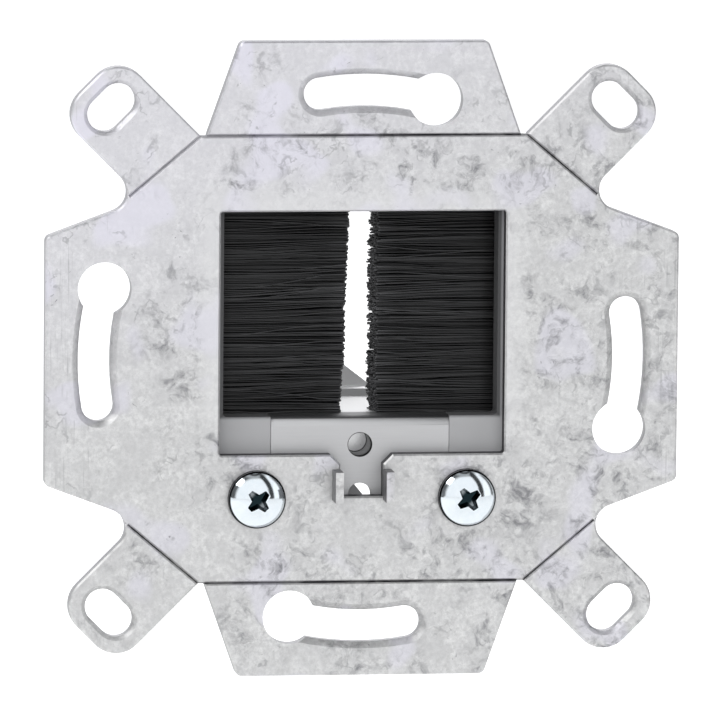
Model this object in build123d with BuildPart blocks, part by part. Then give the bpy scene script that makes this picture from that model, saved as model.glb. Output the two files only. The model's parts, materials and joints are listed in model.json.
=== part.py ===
from build123d import *
import math
import os
import random

# Flush-mounted cable outlet with a brush seal, for a round wall box.
# A die-cast plate screws to the box. Behind its window, a frame holds two strip brushes that face
# each other, and a bent bracket under the window is the cable's strain relief. Two screws hold
# the frame and the bracket. All lengths are in millimetres.
# X runs to the right, Z up, and the front faces -Y. The origin is the centre of the box-screw
# circle on the plate's back face, the face that lies against the wall.

os.makedirs("parts", exist_ok=True)


# Support plate: outline
plate_thickness = 1.8
plate_half_width = 35.5
plate_half_height = 35.5
cast_edge = 0.2
tab_corner_radius = 0.8
top_tab_half_width = 13.85
score_height = 25.0
tab_ear_gap = 0.7
side_tab_half_height = 13.85
side_tab_flank_angle = 20.4
ear_angle = 45.0
ear_half_width = 4.75
ear_reach = 43.5
ear_corner_radius = 3.3
ear_root_fillet = 2.25

# Support plate: keyholes on the box-screw circle, ear slots and score lines
screw_circle_radius = 30.0
keyhole_count = 4
keyhole_entry_radius = 3.0
keyhole_slot_width = 3.6
keyhole_entry_angle = -15.5
keyhole_end_angle = 9.5
keyhole_bevel = 0.7
ear_slot_radius = 39.9
ear_slot_length = 6.0
ear_slot_width = 3.9
ear_slot_bevel = 0.45
score_width = 0.5
score_depth = 0.3

# Support plate: window, notch, guide fins and pegs
window_half_width = 16.0
window_top = 16.5
window_bottom = -10.7
window_corner_radius = 0.3
notch_half_width = 2.4
notch_floor = -15.4
notch_shoulder = 1.1
fin_width = 0.9
fin_length = 3.45
fin_height = 3.0
fin_top = -12.35
peg_radius = 1.2
peg_spacing = 23.6
peg_height = 19.5
peg_length = 2.6
peg_clearance = 0.05

# Strain-relief bracket
sheet = 1.0
sheet_bend_radius = 0.6
leaf_half_width = 10.0
leaf_wing_half_width = 15.5
leaf_wing_top = -11.6
leaf_bottom = -19.2
shelf_top = -6.6
shelf_length = 18.4
shelf_neck_half_width = 5.0
shelf_neck_start = 6.0
shelf_neck_end = 15.0
joggle_rise = 0.8
joggle_run = 0.5
head_half_width = 7.0
head_length = 2.9
lug_top = -3.3
lug_half_width = 4.6
lug_flat_half_width = 0.9
lug_gable_angle = 37.5
cover_hole_radius = 1.325
cover_hole_height = -9.8
cover_hole_depth = 4.3
tie_hole_radius = 1.3
tie_hole_height = -15.4

# Brush frame
frame_depth = 3.2
frame_half_width = 21.4
frame_top = 21.4
frame_bottom = -20.8
frame_corner_circle = 27.6
opening_half_width = 15.4
opening_top = 17.4
opening_corner_radius = 0.4
bracket_side_clearance = 0.05
cover_boss_half_width = 3.2
cover_boss_wall = 0.6
cover_boss_bottom = -13.0
screw_boss_radius = 3.4
screw_boss_depth = 8.2
rail_lip = 0.5
rail_lip_thickness = 0.6
rail_lip_length = 4.0
rail_lip_heights = (-1.5, 13.0)
relief_half_width = 3.4
relief_top = -13.6
relief_bottom = -17.6

# Strip brushes
channel_sheet = 0.6
channel_width = 3.2
channel_height = 4.6
channel_start = 15.8
channel_end_gap = 0.05
channel_overlap = 0.8
core_wire_radius = 0.6
core_wire_clearance = 0.02
bristle_clearance = 0.02
bristle_tip = 1.15
bristle_ragged = 0.45
bristle_columns = 24
bristle_core_half = 0.4
bristle_core_short = 1.3
bristle_foot = 0.3
bristle_gap = 0.14
bristle_edge_gap = 0.03
bristle_splay = 0.035
bristle_layer_offset = 0.65
bristle_layer_thickness = 0.56
bristle_layer_shift = 0.5
bristle_seed = 7

# Fixing screws, threaded inserts and the nut behind the cover screw's hole
screw_spacing = 23.6
screw_height = -15.6
screw_radius = 1.5
screw_hole_radius = 1.7
screw_length = 9.6
head_radius = 3.2
head_side = 0.75
head_dome = 1.5
recess_length = 2.85
recess_tip_width = 0.7
recess_web = 0.8
recess_depth = 1.5
recess_taper = 12.0
left_recess_turn = 43.0
right_recess_turn = 36.0
insert_radius = 2.1
insert_length = 4.4
insert_clearance = 0.02
nut_radius = 1.8
nut_floor = 0.7


def upright(depth):
    """The upright plane this far behind the plate's back face, looking out to the front."""
    return Plane.XZ.offset(-depth)


def tan(angle):
    """The tangent of an angle in degrees."""
    return math.tan(math.radians(angle))


# Places that follow from the sizes above
side_flank = tan(side_tab_flank_angle)
ear_line = ear_half_width / math.cos(math.radians(ear_angle))
ear_root_x = score_height - ear_line
top_tab_root = ear_root_x - tab_ear_gap
ear_foot_x = (ear_line + side_tab_half_height + side_flank * plate_half_width) / (1 + side_flank)
ear_foot_z = ear_foot_x - ear_line
score_foot = (ear_foot_x + 1.6, ear_foot_z + 0.4)
bend_inside = sheet_bend_radius - sheet / 2
screw_x = screw_spacing / 2
peg_x = peg_spacing / 2
channel_back = frame_depth + channel_width
channel_end = channel_start + channel_height
channel_bottom = shelf_top - channel_overlap
channel_top = opening_top + 0.8
wire_x = channel_end - channel_sheet - bristle_clearance - core_wire_radius - 0.4
bristle_middle = frame_depth + channel_width / 2
bristle_root_half = channel_width / 2 - channel_sheet - bristle_clearance
bristle_reach = channel_start - bristle_tip
bristle_floor = shelf_top + bristle_edge_gap
nut_back = cover_hole_depth + nut_floor
cover_boss_depth = nut_back + cover_boss_wall


with BuildPart() as support_plate:
    # One quarter of the outline: half the top tab, the ear and half the side tab
    ear_tip = ear_reach * math.cos(math.radians(ear_angle))
    ear_shift = ear_half_width * math.sin(math.radians(ear_angle))
    with BuildSketch(upright(0)):
        with BuildLine():
            FilletPolyline(
                (0, plate_half_height),
                (top_tab_half_width, plate_half_height),
                (top_tab_root, score_height),
                (ear_root_x, score_height),
                (ear_tip - ear_shift, ear_tip + ear_shift),
                (ear_tip + ear_shift, ear_tip - ear_shift),
                (ear_foot_x, ear_foot_z),
                (plate_half_width, side_tab_half_height),
                (plate_half_width, 0),
                radius=[
                    tab_corner_radius,
                    0,
                    0,
                    ear_corner_radius,
                    ear_corner_radius,
                    ear_root_fillet,
                    tab_corner_radius,
                ],
            )
            mirror(about=Plane.YZ)
            mirror(about=Plane.XZ)
        make_face()
    extrude(amount=plate_thickness)
    chamfer(support_plate.faces().sort_by(Axis.Y)[0].outer_wire().edges(), cast_edge)

    # Window with the notch in its lower edge
    with BuildSketch(upright(0)):
        with BuildLine():
            FilletPolyline(
                (0, window_top),
                (window_half_width, window_top),
                (window_half_width, window_bottom),
                (notch_half_width + notch_shoulder, window_bottom),
                (notch_half_width, window_bottom - notch_shoulder),
                (notch_half_width, notch_floor),
                (0, notch_floor),
                radius=[window_corner_radius, window_corner_radius, 0, 0, 0],
            )
            mirror(about=Plane.YZ)
        make_face()
    extrude(amount=plate_thickness, mode=Mode.SUBTRACT)
    window_rim = support_plate.edges().group_by(Axis.Y)[0].filter_by(
        lambda edge: abs(edge.center().X) < window_half_width + 1
        and notch_floor - 1 < edge.center().Z < window_top + 1
    )
    chamfer(window_rim, cast_edge)

    # Keyholes: a round entry and an arc-shaped slot round the plate's centre
    entry = math.radians(keyhole_entry_angle)
    entry_point = (screw_circle_radius * math.cos(entry), screw_circle_radius * math.sin(entry))
    with BuildSketch(upright(0)):
        with PolarLocations(0, keyhole_count):
            SlotArc(
                Edge.make_circle(
                    screw_circle_radius,
                    start_angle=keyhole_entry_angle,
                    end_angle=keyhole_end_angle,
                ),
                keyhole_slot_width,
            )
            with Locations(entry_point):
                Circle(keyhole_entry_radius)
    extrude(amount=plate_thickness, mode=Mode.SUBTRACT)
    with BuildSketch(upright(-plate_thickness)) as bevel_mouth:
        with PolarLocations(0, keyhole_count):
            SlotArc(
                Edge.make_circle(
                    screw_circle_radius,
                    start_angle=keyhole_entry_angle + 2,
                    end_angle=keyhole_end_angle,
                ),
                keyhole_slot_width + 2 * keyhole_bevel,
            )
    extrude(amount=-keyhole_bevel, taper=45, mode=Mode.SUBTRACT)

    # Slots across the four ears, bevelled at the front
    with BuildSketch(upright(0)):
        with PolarLocations(ear_slot_radius, 4, start_angle=ear_angle):
            SlotOverall(ear_slot_length, ear_slot_width, rotation=90)
    extrude(amount=plate_thickness, mode=Mode.SUBTRACT)
    with BuildSketch(upright(-plate_thickness)):
        with PolarLocations(ear_slot_radius, 4, start_angle=ear_angle):
            SlotOverall(
                ear_slot_length + 2 * ear_slot_bevel,
                ear_slot_width + 2 * ear_slot_bevel,
                rotation=90,
            )
    extrude(amount=-ear_slot_bevel, taper=45, mode=Mode.SUBTRACT)

    # Break-off score lines on both faces, at the roots of the ears and of the top and bottom tabs
    for up in (1, -1):
        score_lines = [((-ear_root_x, up * score_height), (ear_root_x, up * score_height))]
        for side in (1, -1):
            score_lines.append(
                (
                    (side * ear_root_x, up * score_height),
                    (side * score_foot[0], up * score_foot[1]),
                )
            )
        for start, end in score_lines:
            run = Vector(end[0] - start[0], 0, end[1] - start[1])
            for face_depth, inward in ((-plate_thickness, 1), (0, -1)):
                groove_plane = Plane(
                    origin=(start[0], face_depth, start[1]),
                    x_dir=(0, inward, 0),
                    z_dir=run.normalized(),
                )
                with BuildSketch(groove_plane):
                    with BuildLine():
                        Polyline(
                            (0, -score_width / 2),
                            (score_depth, 0),
                            (0, score_width / 2),
                            (-score_depth, 0),
                            close=True,
                        )
                    make_face()
                extrude(amount=run.length, mode=Mode.SUBTRACT)

    # Guide fins beside the notch, screw holes and the pegs that place the brush frame
    with BuildSketch(upright(-plate_thickness)):
        with GridLocations(2 * notch_half_width + fin_width, 0, 2, 1):
            with Locations((0, fin_top - fin_length / 2)):
                Rectangle(fin_width, fin_length)
    extrude(amount=fin_height)
    with BuildSketch(upright(0)):
        with Locations((screw_x, screw_height), (-screw_x, screw_height)):
            Circle(screw_hole_radius)
    extrude(amount=plate_thickness, mode=Mode.SUBTRACT)
    with BuildSketch(upright(peg_length)):
        with Locations((peg_x, peg_height), (-peg_x, peg_height)):
            Circle(peg_radius)
    extrude(amount=peg_length)
support_plate.part.label = "support_plate"
export_step(support_plate.part, "parts/support_plate.step")


with BuildPart() as strain_relief_bracket:
    # The sheet's side view: upright leaf, shelf running back, joggle up and a lug at the end
    leaf_line = sheet / 2
    shelf_line = shelf_top - sheet / 2
    head_line = shelf_line + joggle_rise
    head_end = shelf_length + joggle_run + head_length
    with BuildSketch(Plane.YZ.offset(-leaf_wing_half_width)):
        with BuildLine() as sheet_line:
            FilletPolyline(
                (leaf_line, leaf_bottom),
                (leaf_line, shelf_line),
                (shelf_length, shelf_line),
                (shelf_length + joggle_run, head_line),
                (head_end, head_line),
                (head_end, lug_top),
                radius=[sheet_bend_radius, 0, 0, sheet_bend_radius],
            )
        trace(line_width=sheet)
    extrude(amount=2 * leaf_wing_half_width)

    # The leaf's outline: wings at the screws, narrower under the window
    wing_step = leaf_wing_half_width - leaf_half_width
    with BuildSketch(upright(head_end + sheet)):
        for side in (1, -1):
            with Locations((side * (leaf_half_width + wing_step / 2), leaf_wing_top)):
                Rectangle(wing_step, 2 * wing_step + 10, align=(Align.CENTER, Align.MIN))
    extrude(amount=head_end + 2 * sheet, mode=Mode.SUBTRACT)

    # The shelf's outline from above: a neck for the cable tie, then a wider head
    taper_run = 1.5
    with BuildSketch(Plane.XY.offset(lug_top + sheet)):
        for side in (1, -1):
            with BuildLine():
                Polyline(
                    (side * leaf_half_width, shelf_neck_start - taper_run),
                    (side * shelf_neck_half_width, shelf_neck_start + taper_run),
                    (side * shelf_neck_half_width, shelf_neck_end),
                    (side * head_half_width, shelf_neck_end + taper_run),
                    (side * head_half_width, head_end + sheet),
                    (side * (leaf_wing_half_width + 1), head_end + sheet),
                    (side * (leaf_wing_half_width + 1), shelf_neck_start - taper_run),
                    close=True,
                )
            make_face()
    extrude(amount=-(lug_top + sheet - shelf_top + 3 * sheet), mode=Mode.SUBTRACT)

    # The lug's gable
    gable_run = lug_half_width - lug_flat_half_width
    gable_foot = lug_top - gable_run * tan(lug_gable_angle)
    with BuildSketch(upright(head_end + sheet)):
        for side in (1, -1):
            with BuildLine():
                Polyline(
                    (side * lug_flat_half_width, lug_top),
                    (side * lug_half_width, gable_foot),
                    (side * lug_half_width, head_line + sheet / 2),
                    (side * (head_half_width + 1), head_line + sheet / 2),
                    (side * (head_half_width + 1), lug_top + sheet),
                    (side * lug_flat_half_width, lug_top + sheet),
                    close=True,
                )
            make_face()
    extrude(amount=2.5 * sheet, mode=Mode.SUBTRACT)

    # Holes in the leaf: cover screw, tie hole and the two fixing screws
    with BuildSketch(upright(sheet)):
        with Locations((0, cover_hole_height)):
            Circle(cover_hole_radius)
        with Locations((0, tie_hole_height)):
            Circle(tie_hole_radius)
        with Locations((screw_x, screw_height), (-screw_x, screw_height)):
            Circle(screw_hole_radius)
    extrude(amount=sheet, mode=Mode.SUBTRACT)
strain_relief_bracket.part.label = "strain_relief_bracket"
export_step(strain_relief_bracket.part, "parts/strain_relief_bracket.step")


with BuildPart() as brush_frame:
    # A flat frame inside the wall box, with corners cut to a circle
    with BuildSketch(upright(frame_depth)):
        with Locations((0, (frame_top + frame_bottom) / 2)):
            Rectangle(2 * frame_half_width, frame_top - frame_bottom)
        Circle(frame_corner_circle, mode=Mode.INTERSECT)
        with Locations((0, (opening_top + shelf_top) / 2)):
            RectangleRounded(
                2 * opening_half_width,
                opening_top - shelf_top,
                opening_corner_radius,
                mode=Mode.SUBTRACT,
            )
        with Locations((peg_x, peg_height), (-peg_x, peg_height)):
            Circle(peg_radius + peg_clearance, mode=Mode.SUBTRACT)
    extrude(amount=frame_depth)

    # Bosses behind the two fixing screws and behind the cover screw's hole
    with BuildSketch(upright(screw_boss_depth)):
        with Locations((screw_x, screw_height), (-screw_x, screw_height)):
            Circle(screw_boss_radius)
    extrude(amount=screw_boss_depth - frame_depth)
    boss_top = shelf_top - sheet - bend_inside - bracket_side_clearance
    with BuildSketch(upright(cover_boss_depth)):
        with Locations((0, boss_top)):
            Rectangle(
                2 * cover_boss_half_width,
                boss_top - cover_boss_bottom,
                align=(Align.CENTER, Align.MAX),
            )
    extrude(amount=cover_boss_depth - frame_depth)

    # Rails with snap lips that hold the brush channels
    rail_inner = channel_end + channel_end_gap
    with BuildSketch(upright(channel_back)):
        for side in (1, -1):
            with Locations((side * (rail_inner + frame_half_width) / 2, (channel_top + channel_bottom) / 2)):
                Rectangle(frame_half_width - rail_inner, channel_top - channel_bottom)
        Circle(frame_corner_circle, mode=Mode.INTERSECT)
    extrude(amount=channel_width)
    with BuildSketch(upright(channel_back + rail_lip_thickness)):
        for side in (1, -1):
            for height in rail_lip_heights:
                with Locations((side * (rail_inner - rail_lip + frame_half_width) / 2, height)):
                    Rectangle(frame_half_width - rail_inner + rail_lip, rail_lip_length)
        Circle(frame_corner_circle, mode=Mode.INTERSECT)
    extrude(amount=rail_lip_thickness)

    # Pocket in the front for the bracket's leaf, and the gap that its shelf runs back through
    with BuildSketch(upright(sheet)):
        with Locations((0, leaf_wing_top + bracket_side_clearance)):
            Rectangle(
                2 * (leaf_wing_half_width + bracket_side_clearance),
                leaf_wing_top - leaf_bottom + 2 * bracket_side_clearance,
                align=(Align.CENTER, Align.MAX),
            )
            Rectangle(
                2 * (leaf_half_width + bracket_side_clearance),
                shelf_top - leaf_wing_top + sheet,
                align=(Align.CENTER, Align.MIN),
            )
    extrude(amount=sheet, mode=Mode.SUBTRACT)
    with BuildSketch(upright(cover_boss_depth)):
        with Locations((0, boss_top)):
            Rectangle(
                2 * (leaf_half_width + bracket_side_clearance),
                2 * sheet,
                align=(Align.CENTER, Align.MIN),
            )
    extrude(amount=cover_boss_depth, mode=Mode.SUBTRACT)

    # Holes: screws and inserts from behind, the cover nut's seat, and the slanted relief
    with BuildSketch(upright(screw_boss_depth)):
        with Locations((screw_x, screw_height), (-screw_x, screw_height)):
            Circle(screw_hole_radius)
    extrude(amount=screw_boss_depth, mode=Mode.SUBTRACT)
    with BuildSketch(upright(screw_boss_depth)):
        with Locations((screw_x, screw_height), (-screw_x, screw_height)):
            Circle(insert_radius + insert_clearance)
    extrude(amount=insert_length, mode=Mode.SUBTRACT)
    with BuildSketch(upright(nut_back)):
        with Locations((0, cover_hole_height)):
            Circle(nut_radius + insert_clearance)
    extrude(amount=nut_back, mode=Mode.SUBTRACT)
    with BuildSketch(upright(frame_depth)):
        with BuildLine():
            Polyline(
                (-1.1, relief_top),
                (relief_half_width, relief_top),
                (relief_half_width, relief_bottom),
                (2.15, relief_bottom),
                close=True,
            )
        make_face()
    extrude(amount=frame_depth, mode=Mode.SUBTRACT)
brush_frame.part.label = "brush_frame"
export_step(brush_frame.part, "parts/brush_frame.step")


# Blind nut behind the leaf, which the cover plate's screw bites in
with BuildPart() as cover_screw_nut:
    with BuildSketch(upright(nut_back)):
        with Locations((0, cover_hole_height)):
            Circle(nut_radius)
    extrude(amount=nut_back - sheet)
    with BuildSketch(upright(cover_hole_depth)):
        with Locations((0, cover_hole_height)):
            Circle(cover_hole_radius)
    extrude(amount=cover_hole_depth - sheet, mode=Mode.SUBTRACT)
cover_screw_nut.part.label = "cover_screw_nut"
export_step(cover_screw_nut.part, "parts/cover_screw_nut.step")


def comb_outline(chance, shift):
    """One layer of tufts seen from the front: a back edge, then a ragged, blunt-pointed tuft per column.

    Neighbours share their foot and part towards the gap. Points run from the layer's back edge, as
    (distance towards the gap, height), and shift moves the columns.
    """
    span = channel_top - channel_bottom - 2 * bristle_edge_gap - bristle_layer_shift
    pitch = span / bristle_columns
    half = pitch / 2 - bristle_gap / 2
    points = [(0, channel_bottom)]
    for column in range(bristle_columns):
        foot = channel_bottom + bristle_edge_gap + column * pitch + shift
        middle = foot + pitch / 2
        reach = bristle_reach + chance.uniform(-bristle_ragged, bristle_ragged)
        lean = chance.uniform(-half, half)
        points += [
            (bristle_foot, foot),
            (reach - 0.5 * bristle_ragged, middle - half),
            (reach, middle + lean),
            (reach - 0.7 * bristle_ragged, middle + half),
        ]
    return points + [(0, channel_top)]


def cross_outline(reach, tip_half, web):
    """A cross with tapered arms: for each arm the web's corner before it and its two outer corners."""
    points = []
    for quarter in range(4):
        turn = Vector(1, 0).rotate(Axis.Z, 90 * quarter)
        across = Vector(0, 1).rotate(Axis.Z, 90 * quarter)
        points += [
            (turn - across).normalized() * web,
            turn * reach - across * tip_half,
            turn * reach + across * tip_half,
        ]
    return points


for name, side, recess_turn in (("left", -1, left_recess_turn), ("right", 1, right_recess_turn)):
    # Folded channel: a U open towards the cable gap, a little pinched at its mouth
    with BuildPart() as brush_channel:
        with BuildSketch(Plane.XY.offset(channel_bottom)):
            inner = channel_width / 2 - channel_sheet
            with BuildLine():
                Polyline(
                    (side * channel_start, frame_depth),
                    (side * channel_end, frame_depth),
                    (side * channel_end, channel_back),
                    (side * channel_start, channel_back),
                    (side * channel_start, bristle_middle + inner),
                    (side * (channel_end - channel_sheet), bristle_middle + inner),
                    (side * (channel_end - channel_sheet), bristle_middle - inner),
                    (side * channel_start, bristle_middle - inner),
                    close=True,
                )
            make_face()
        extrude(amount=channel_top - channel_bottom)
        fold_edges = brush_channel.edges().filter_by(Axis.Z).filter_by(
            lambda edge: abs(edge.center().X) > channel_end - 0.01
        )
        fillet(fold_edges, channel_sheet)
    brush_channel.part.label = name + "_brush_channel"
    export_step(brush_channel.part, "parts/" + name + "_brush_channel.step")

    # Core wire that the bristles are folded round
    with BuildPart() as core_wire:
        with BuildSketch(Plane.XY.offset(channel_bottom)):
            with Locations((side * wire_x, bristle_middle)):
                Circle(core_wire_radius)
        extrude(amount=channel_top - channel_bottom)
    core_wire.part.label = name + "_core_wire"
    export_step(core_wire.part, "parts/" + name + "_core_wire.step")

    # Bristles: the folded root round the wire, then layers of tufts that splay towards the gap
    chance = random.Random(bristle_seed + side)
    with BuildPart() as bristles:
        root_length = channel_end - channel_sheet - bristle_clearance - channel_start
        with BuildSketch(Plane.XY.offset(channel_bottom)):
            with Locations((side * (channel_start + root_length / 2), bristle_middle)):
                Rectangle(root_length, 2 * bristle_root_half)
            with Locations((side * wire_x, bristle_middle)):
                Circle(core_wire_radius + core_wire_clearance, mode=Mode.SUBTRACT)
        extrude(amount=channel_top - channel_bottom)
        with BuildSketch(Plane.XY.offset(bristle_floor)):
            with Locations((side * (channel_start - bristle_reach / 2 + bristle_core_short), bristle_middle)):
                Rectangle(bristle_reach, 2 * bristle_core_half)
        extrude(amount=channel_top - bristle_floor)
        for layer, rank in enumerate((-1, 1)):
            layer_plane = Plane(
                origin=(side * channel_start, bristle_middle + rank * bristle_layer_offset, 0),
                x_dir=(-side, bristle_splay * rank, 0),
                z_dir=(bristle_splay * rank, side, 0),
            )
            with BuildSketch(layer_plane):
                with BuildLine():
                    Polyline(*comb_outline(chance, layer * bristle_layer_shift), close=True)
                make_face()
            extrude(amount=bristle_layer_thickness / 2, both=True)

        # Over the bracket's shelf, the lowest tufts end just above it
        shelf_side = leaf_half_width + bracket_side_clearance
        with BuildSketch(Plane.XY.offset(bristle_floor)):
            with Locations((side * shelf_side / 2, bristle_middle)):
                Rectangle(shelf_side, 2 * channel_width)
        extrude(amount=channel_bottom - channel_width - bristle_floor, mode=Mode.SUBTRACT)
    bristles.part.label = name + "_bristles"
    export_step(bristles.part, "parts/" + name + "_bristles.step")

    # Pan-head screw with a cross recess
    with BuildPart() as fixing_screw:
        under_head = -plate_thickness
        dome_radius = (head_radius**2 + head_dome**2) / (2 * head_dome)
        with BuildSketch(Plane.XY.offset(screw_height)):
            with BuildLine():
                Polyline(
                    (side * screw_x, under_head + screw_length),
                    (side * screw_x + screw_radius - 0.4, under_head + screw_length),
                    (side * screw_x + screw_radius, under_head + screw_length - 0.4),
                    (side * screw_x + screw_radius, under_head),
                    (side * screw_x + head_radius, under_head),
                    (side * screw_x + head_radius, under_head - head_side),
                )
                RadiusArc(
                    (side * screw_x + head_radius, under_head - head_side),
                    (side * screw_x, under_head - head_side - head_dome),
                    dome_radius,
                )
                Line(
                    (side * screw_x, under_head - head_side - head_dome),
                    (side * screw_x, under_head + screw_length),
                )
            make_face()
        revolve(axis=Axis((side * screw_x, 0, screw_height), (0, 1, 0)))
        with BuildSketch(upright(under_head - head_side - head_dome)):
            with Locations((side * screw_x, screw_height)):
                Polygon(
                    *cross_outline(recess_length / 2, recess_tip_width / 2, recess_web),
                    rotation=recess_turn,
                    align=None,
                )
        extrude(amount=-recess_depth, taper=recess_taper, mode=Mode.SUBTRACT)
    fixing_screw.part.label = name + "_fixing_screw"
    export_step(fixing_screw.part, "parts/" + name + "_fixing_screw.step")

    # Threaded insert pressed into the frame's boss from behind
    with BuildPart() as threaded_insert:
        with BuildSketch(upright(screw_boss_depth)):
            with Locations((side * screw_x, screw_height)):
                Circle(insert_radius)
                Circle(screw_radius + insert_clearance, mode=Mode.SUBTRACT)
        extrude(amount=insert_length)
    threaded_insert.part.label = name + "_threaded_insert"
    export_step(threaded_insert.part, "parts/" + name + "_threaded_insert.step")
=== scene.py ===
# %% [markdown]
# # A flush-mounted cable outlet with a brush seal
# A bare die-cast plate screws to a round wall box. Cables pass between two strip brushes behind its
# window and are tied to a bent bracket below it. This notebook dresses the measured model of the
# part: it gives every piece its finish, makes the bristles one filament at a time, and sets up the
# camera and the light. Lengths are in metres, and sizes known in millimetres are written with MM.

# %% Load the measured model
import json
import math

import bpy
import numpy as np
from mathutils import Matrix, Vector


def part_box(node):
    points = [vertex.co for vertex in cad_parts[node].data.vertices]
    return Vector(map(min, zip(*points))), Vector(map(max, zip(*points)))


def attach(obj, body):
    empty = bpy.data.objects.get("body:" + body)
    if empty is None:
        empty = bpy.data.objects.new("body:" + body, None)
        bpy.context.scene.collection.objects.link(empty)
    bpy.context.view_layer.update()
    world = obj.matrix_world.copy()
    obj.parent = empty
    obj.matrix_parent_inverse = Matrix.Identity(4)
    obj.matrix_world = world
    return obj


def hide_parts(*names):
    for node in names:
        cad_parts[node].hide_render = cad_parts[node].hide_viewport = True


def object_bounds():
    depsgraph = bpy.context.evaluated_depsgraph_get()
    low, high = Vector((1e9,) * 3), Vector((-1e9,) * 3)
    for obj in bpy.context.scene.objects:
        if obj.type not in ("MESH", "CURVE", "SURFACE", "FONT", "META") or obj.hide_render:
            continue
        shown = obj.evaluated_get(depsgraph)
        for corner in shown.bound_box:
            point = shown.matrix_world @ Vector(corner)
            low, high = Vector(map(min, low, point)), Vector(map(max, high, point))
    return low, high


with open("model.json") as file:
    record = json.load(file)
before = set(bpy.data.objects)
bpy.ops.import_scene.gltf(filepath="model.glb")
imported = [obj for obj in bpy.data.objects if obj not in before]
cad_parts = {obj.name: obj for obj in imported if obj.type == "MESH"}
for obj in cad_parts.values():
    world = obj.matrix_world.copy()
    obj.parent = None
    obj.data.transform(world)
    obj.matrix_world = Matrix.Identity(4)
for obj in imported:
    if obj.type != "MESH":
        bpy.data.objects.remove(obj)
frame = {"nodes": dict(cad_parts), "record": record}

MM = 0.001
cad_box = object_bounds()
nodes = frame["nodes"]
print("nodes:", sorted(nodes))
print("box in mm:", [round(x / MM, 2) for corner in cad_box for x in corner])

# %% [markdown]
# ## Colours and nodes
# Screens show sRGB values, but light adds up in linear ones, so each colour is written as the hex
# value that a colour picker would show and is turned to linear in one place. Materials here are
# node trees, and one small function adds a node, sets its properties and links or fills its inputs.
# Patterns on this part are mostly soft regions, such as "within 0.1 mm of this line and on the
# front": every limit is a smooth step from 0 to 1, and the region is their product. A pattern then
# drives a skin's tone, roughness and relief, and regions lay further colours over the tone.

# %% Colour and node helpers
def linear(hex_colour):
    """Linear RGBA of an sRGB hex value: a straight line near black, and above it a power of 2.4."""
    channels = [int(hex_colour[i:i + 2], 16) / 255 for i in (1, 3, 5)]
    return [c / 12.92 if c <= 0.04045 else ((c + 0.055) / 1.055) ** 2.4 for c in channels] + [1.0]


def add_node(tree, kind, inputs=(), out=None, **settings):
    """Adds one node, such as ShaderNodeMath for the kind Math, and returns it, or its socket out.

    Settings are its own properties. Inputs are a list in the node's order, or pairs of a socket's
    name or number with what it gets: an output socket is linked to it, and a value is set on it."""
    node = tree.nodes.new("ShaderNode" + kind)
    for name, value in settings.items():
        setattr(node, name, value)
    for key, value in inputs.items() if isinstance(inputs, dict) else enumerate(inputs):
        if isinstance(value, bpy.types.NodeSocket):
            tree.links.new(value, node.inputs[key])
        else:
            node.inputs[key].default_value = value
    return node if out is None else node.outputs[out]


def zone(tree, *limits):
    """A soft region: the product of a smooth step for every limit.

    A limit is a value, where its step starts and where it ends, and the step's heights at the two,
    if they aren't 0 and 1. A step that ends below its start falls with the value."""
    amount = None
    for limit in limits:
        step = add_node(tree, "MapRange", limit, out=0, interpolation_type="SMOOTHSTEP")
        if amount is not None:
            step = add_node(tree, "Math", (amount, step), out=0, operation="MULTIPLY")
        amount = step
    return amount


def distance_from(tree, value, level=0.0):
    """How far a value is from a level, without a sign: the absolute value of their difference."""
    gap = add_node(tree, "Math", (value, level), out=0, operation="SUBTRACT")
    return add_node(tree, "Math", (gap,), out=0, operation="ABSOLUTE")


def per(size_mm):
    """The noise scale for features about this many millimetres across: one over them in metres."""
    return 1.0 / (size_mm * MM)


def new_material(name, **sockets):
    """An empty material with a Principled surface and object coordinates. Its constants go on the
    shader's own sockets. Returns the material, its tree, the shader and the coordinate socket."""
    material = bpy.data.materials.new(name)
    material.use_nodes = True
    tree = material.node_tree
    tree.nodes.clear()
    shader = add_node(tree, "BsdfPrincipled", {k.replace("_", " "): v for k, v in sockets.items()})
    add_node(tree, "OutputMaterial", {"Surface": shader.outputs["BSDF"]})
    return material, tree, shader, add_node(tree, "TexCoord", out="Object")


def paint(tree, shader, tone, rough=None, relief=None, layers=()):
    """Fills the sockets of a skin. Tone is a pattern with the colours at its 0 and 1, rough a pattern
    with the roughness at its 0 and 1, and relief a pattern with its bumps' strength and depth in mm.
    Layers, each an amount, a strength and a colour, are laid over the tone one after the other."""
    pattern, dark, pale = tone
    skin = add_node(
        tree, "Mix", {0: pattern, 6: linear(dark), 7: linear(pale)}, out=2, data_type="RGBA"
    )
    for amount, strength, colour in layers:
        amount = add_node(tree, "Math", (amount, strength), out=0, operation="MULTIPLY")
        skin = add_node(tree, "Mix", {0: amount, 6: skin, 7: linear(colour)}, out=2, data_type="RGBA")
    tree.links.new(skin, shader.inputs["Base Color"])
    if rough:
        pattern, low, high = rough
        value = add_node(tree, "MapRange", {"Value": pattern, "To Min": low, "To Max": high}, out=0)
        tree.links.new(value, shader.inputs["Roughness"])
    if relief:
        pattern, strength, depth_mm = relief
        bumps = {"Height": pattern, "Strength": strength, "Distance": depth_mm * MM}
        tree.links.new(add_node(tree, "Bump", bumps, out="Normal"), shader.inputs["Normal"])


print("linear mid grey:", [round(c, 3) for c in linear("#808080")[:3]])

# %% [markdown]
# ## Camera
# The photograph looks at the plate from a little to the left of its middle and a little above it,
# from far away: edges that are parallel on the plate stay parallel, and what lies deeper is only
# shifted. A long lens far off gives that. The plate's edges are level in the photograph, but such
# a view tilts level and upright edges against each other, so the camera is rolled by half the tilt.

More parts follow.
